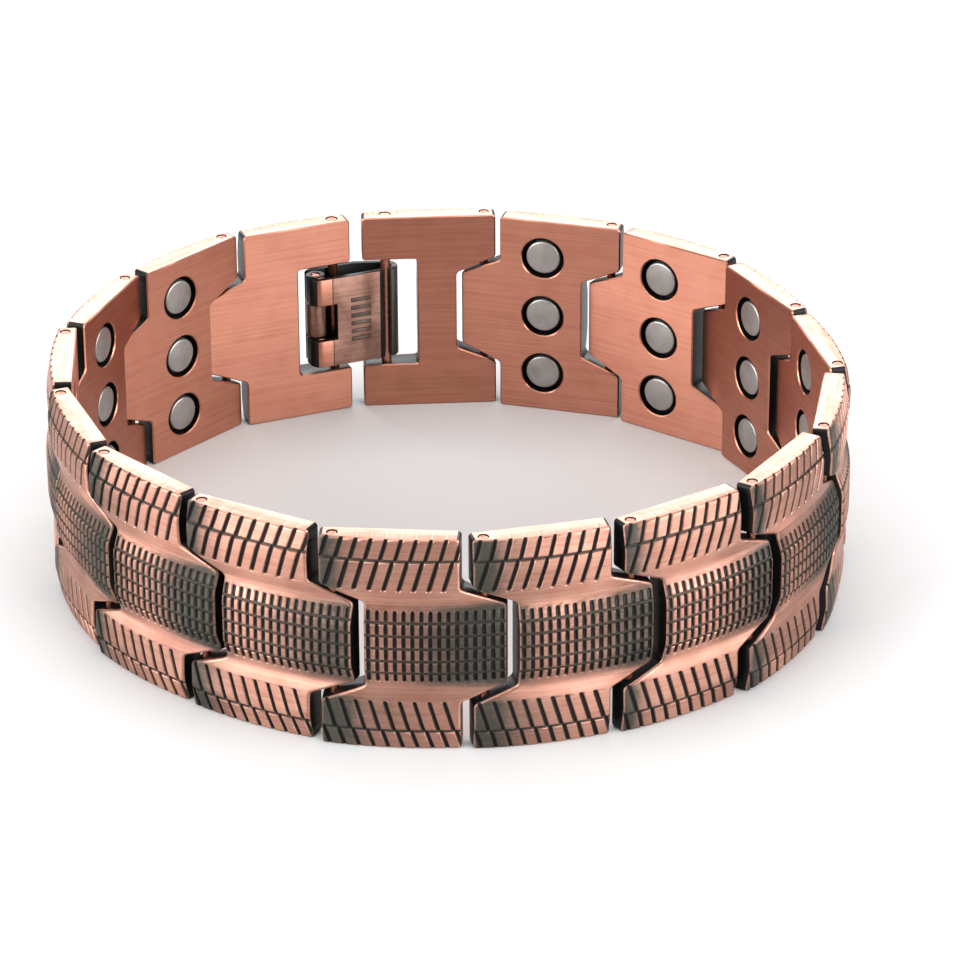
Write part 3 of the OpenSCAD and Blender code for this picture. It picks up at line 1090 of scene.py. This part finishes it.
class BRACELET_OT_links(Operator):
    """Model the fifteen links and the two clasp links"""

    bl_idname = "bracelet.links"
    bl_label = "Links"

    def execute(self, context):
        scene = context.scene
        size, pattern = in_mm(scene.bracelet_link), in_mm(scene.bracelet_pattern)
        magnet = in_mm(scene.bracelet_magnet)
        frames, pitch = stands()
        copper = paint_of("aged_copper", copper_paint)
        edge = paint_of("edge_copper", edge_paint)
        forms = {
            kind: link_form(size, pattern, magnet, pitch, kind)
            for kind in ("link", "clasp_a", "clasp_b")
        }
        chance = random.Random(scene.bracelet_finish.seed)
        ends = {0: ("clasp_a", "clasp_link_a"), JOINTS: ("clasp_b", "clasp_link_b")}
        for i, place in enumerate(frames):
            kind, node = ends.get(i, ("link", f"link_{i:02d}"))
            drawn = {name: chance.uniform(*span) for name, span in WEAR.items()}
            wear = SimpleNamespace(offset=SPOT_STEP * i, **drawn)
            form, shape = forms[kind]
            piece = place_link(form, f"{node}_cast", shape, place, wear)
            dress(piece, copper, "copper", node)
            piece.data.materials.append(edge)  # for the upper and lower edge
        for form, _ in forms.values():
            form.free()
        return {"FINISHED"}


class BRACELET_OT_magnets(Operator):
    """Model the magnets in their pockets"""

    bl_idname = "bracelet.magnets"
    bl_label = "Magnets"

    def execute(self, context):
        scene = context.scene
        size, magnet = in_mm(scene.bracelet_link), in_mm(scene.bracelet_magnet)
        frames, pitch = stands()
        shape = plan(size, pitch, "link")
        steel = paint_of("magnet_face", magnet_paint)
        front, along = shape.inner - magnet.disc_sunk, shape.left + magnet.along
        depth = magnet.pocket_deep - magnet.disc_sunk - MAGNET_PLAY
        turn = Matrix.Rotation(-pi / 2, 4, "X")
        for i in range(1, LINKS + 1):
            bm = bmesh.new()
            for step in (-1, 0, 1):
                centre = Vector((along, front, shape.mid + step * magnet.spread))
                bmesh.ops.create_circle(
                    bm,
                    cap_ends=True,
                    segments=DISC_SEGMENTS,
                    radius=magnet.disc_d / 2,
                    matrix=Matrix.Translation(centre) @ turn,
                )
            bmesh.ops.recalc_face_normals(bm, faces=bm.faces)
            grown = bmesh.ops.extrude_face_region(bm, geom=bm.faces[:])["geom"]
            bmesh.ops.translate(bm, vec=(0, -depth, 0), verts=only(BMVert, grown))
            bmesh.ops.recalc_face_normals(bm, faces=bm.faces)
            rim = [e for e in bm.edges if all(abs(v.co.y - front) < CLOSE for v in e.verts)]
            round_off(bm, rim, MAGNET_RIM, 3)
            piece = finish_object(bm, f"magnet_discs_{i:02d}", frames[i])
            dress(piece, steel, "magnet", f"magnets_{i:02d}")
        return {"FINISHED"}


class BRACELET_OT_clasp(Operator):
    """Soften the clasp's sheet metal and finish its pins and bars"""

    bl_idname = "bracelet.clasp"
    bl_label = "Clasp and pins"

    def execute(self, context):
        copper = paint_of("aged_copper", copper_paint)
        pin = paint_of("pin_end", pin_paint)
        bar = paint_of("clasp_bar_skin", bar_paint)
        clasp = in_mm(context.scene.bracelet_clasp)
        place = stands()[0][0]
        hinge = place.inverted() @ middle("clasp_hinge_pin")
        high = band_height()

        def is_broad(face):
            """Whether a face is broad"""
            return face.calc_area() > clasp.flat_area

        plate = soften("clasp_plate", place)
        stain_and_shade_plate(plate, clasp, hinge, high)
        plate = finish_object(plate, "clasp_plate_sheet", place, is_broad)
        dress(plate, copper, "copper", "clasp_plate")
        lever = soften("clasp_lever", place)
        face = max(lever.faces, key=lambda f: f.calc_area() * (f.normal.y > 0.7))
        level, normal = face.calc_center_median(), face.normal.copy()
        stain_and_shade_lever(lever, clasp, hinge)
        lever = finish_object(lever, "clasp_lever_sheet", place, is_broad)
        dress(lever, copper, "copper", "clasp_lever", body="lever")
        grip = grip_form(clasp, hinge, high, level, normal)
        dress(finish_object(grip, "lever_grip", place), copper, "copper", body="lever")
        for name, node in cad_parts.items():
            if name.startswith(("joint_pin", "clasp_hinge", "clasp_bar")):
                node.data.materials.clear()
                # Bar b gets its own bare paint; bar a, deep in the clasp, gets the dark pin paint
                # as painted shade
                node.data.materials.append(bar if name == "clasp_bar_b" else pin)
        return {"FINISHED"}


FLOOR_SHADE = (0.47, 0.47, 0.47)
WORLD_STRENGTH = 0.13
# Name, azimuth and elevation in degrees, distance and size in metres, and power in watts
SOFT_LIGHTS = [
    ("left_box", 206, 22, 0.8, (0.8, 0.4), 12),
    ("right_box", 326, 22, 0.8, (0.9, 0.4), 11.5),
    ("back_box", 90, 28, 1.0, (1.4, 0.35), 12),
    ("overhead", 90, 89, 1.0, (1.2, 1.2), 13),
]


class BRACELET_OT_stage(Operator):
    """Set the floor, the lights and the camera"""

    bl_idname = "bracelet.stage"
    bl_label = "Stage"

    def execute(self, context):
        scene = context.scene
        stage = in_mm(scene.bracelet_stage)
        self.add_floor()
        self.add_lights(scene)
        self.add_camera(scene, stage)
        return {"FINISHED"}

    def add_floor(self):
        """Wide plain floor"""
        bm = bmesh.new()
        bmesh.ops.create_circle(bm, cap_ends=True, segments=96, radius=6)
        mesh = bpy.data.meshes.new("floor")
        bm.to_mesh(mesh)
        bm.free()
        floor = add_object("floor", mesh)
        paint = Paint("floor")
        floor.data.materials.append(paint.finish(Base_Color=FLOOR_SHADE, Roughness=0.9))

    def add_lights(self, scene):
        """Even surroundings and the soft boxes"""
        scene.view_settings.view_transform = "Standard"
        world = bpy.data.worlds.new("studio")
        scene.world = world
        world.use_nodes = True
        around = world.node_tree.nodes["Background"].inputs
        around["Color"].default_value = (1, 1, 1, 1)
        around["Strength"].default_value = WORLD_STRENGTH
        for name, azimuth, elevation, away, size, power in SOFT_LIGHTS:
            lamp = bpy.data.lights.new(name, "AREA")
            lamp.shape = "RECTANGLE"
            lamp.size, lamp.size_y = size
            lamp.energy = power
            light = add_object(name, lamp)
            turn, rise = radians(azimuth), radians(elevation)
            level = cos(rise)
            light.location = away * Vector((level * cos(turn), level * sin(turn), sin(rise)))
            light.rotation_euler = (-light.location).to_track_quat("-Z", "Y").to_euler()

    def add_camera(self, scene, stage):
        """Camera at the photo's place"""
        right = Vector((1, 0, 0))
        up = Vector((0, sin(stage.elevation), cos(stage.elevation)))
        ahead = Vector((0, cos(stage.elevation), -sin(stage.elevation)))
        right, up = (
            cos(stage.roll) * right + sin(stage.roll) * up,
            cos(stage.roll) * up - sin(stage.roll) * right,
        )
        high = (cad_box[1][2] - cad_box[0][2]) / MM
        centre = Vector((0, 0, high / 2))
        eye = centre - stage.aside * right - stage.above * up - stage.distance * ahead
        turned = Matrix.Rotation(stage.turn, 4, "Z")
        axes = Matrix((right, up, -ahead)).transposed().to_4x4()
        lens = bpy.data.cameras.new("camera")
        lens.sensor_width = 36
        lens.lens = stage.lens_px / stage.picture_px * lens.sensor_width
        lens.clip_start = 0.01
        camera = add_object("camera", lens)
        camera.matrix_world = turned @ Matrix.Translation(eye * MM) @ axes
        scene.camera = camera


class BRACELET_PT_panel(Panel):
    """Lists the bracelet's sizes and the steps that build it"""

    bl_idname = "BRACELET_PT_panel"
    bl_label = "Copper Link Bracelet"
    bl_space_type = "VIEW_3D"
    bl_region_type = "UI"
    bl_category = "Bracelet"

    def draw(self, context):
        """Draws the sizes and a button for each step"""
        for group_name, group in SIZE_GROUPS.items():
            box = self.layout.box()
            box.label(text=group.__doc__)
            for name in group.__annotations__:
                box.prop(getattr(context.scene, group_name), name)
        for operator in OPERATORS:
            self.layout.operator(operator.bl_idname)


OPERATORS = [BRACELET_OT_stage, BRACELET_OT_links, BRACELET_OT_magnets, BRACELET_OT_clasp]
CLASSES = [*SIZE_GROUPS.values(), *OPERATORS, BRACELET_PT_panel]


def register():
    """Registers the classes and the size groups"""
    for cls in CLASSES:
        bpy.utils.register_class(cls)
    for name, group in SIZE_GROUPS.items():
        setattr(bpy.types.Scene, name, PointerProperty(type=group))


def unregister():
    """Takes back what register() did"""
    for name in SIZE_GROUPS:
        delattr(bpy.types.Scene, name)
    for cls in reversed(CLASSES):
        bpy.utils.unregister_class(cls)


def main():
    """Builds the scene step by step"""
    register()
    bpy.ops.bracelet.stage()
    bpy.ops.bracelet.links()
    bpy.ops.bracelet.magnets()
    bpy.ops.bracelet.clasp()


if __name__ == "__main__":
    main()
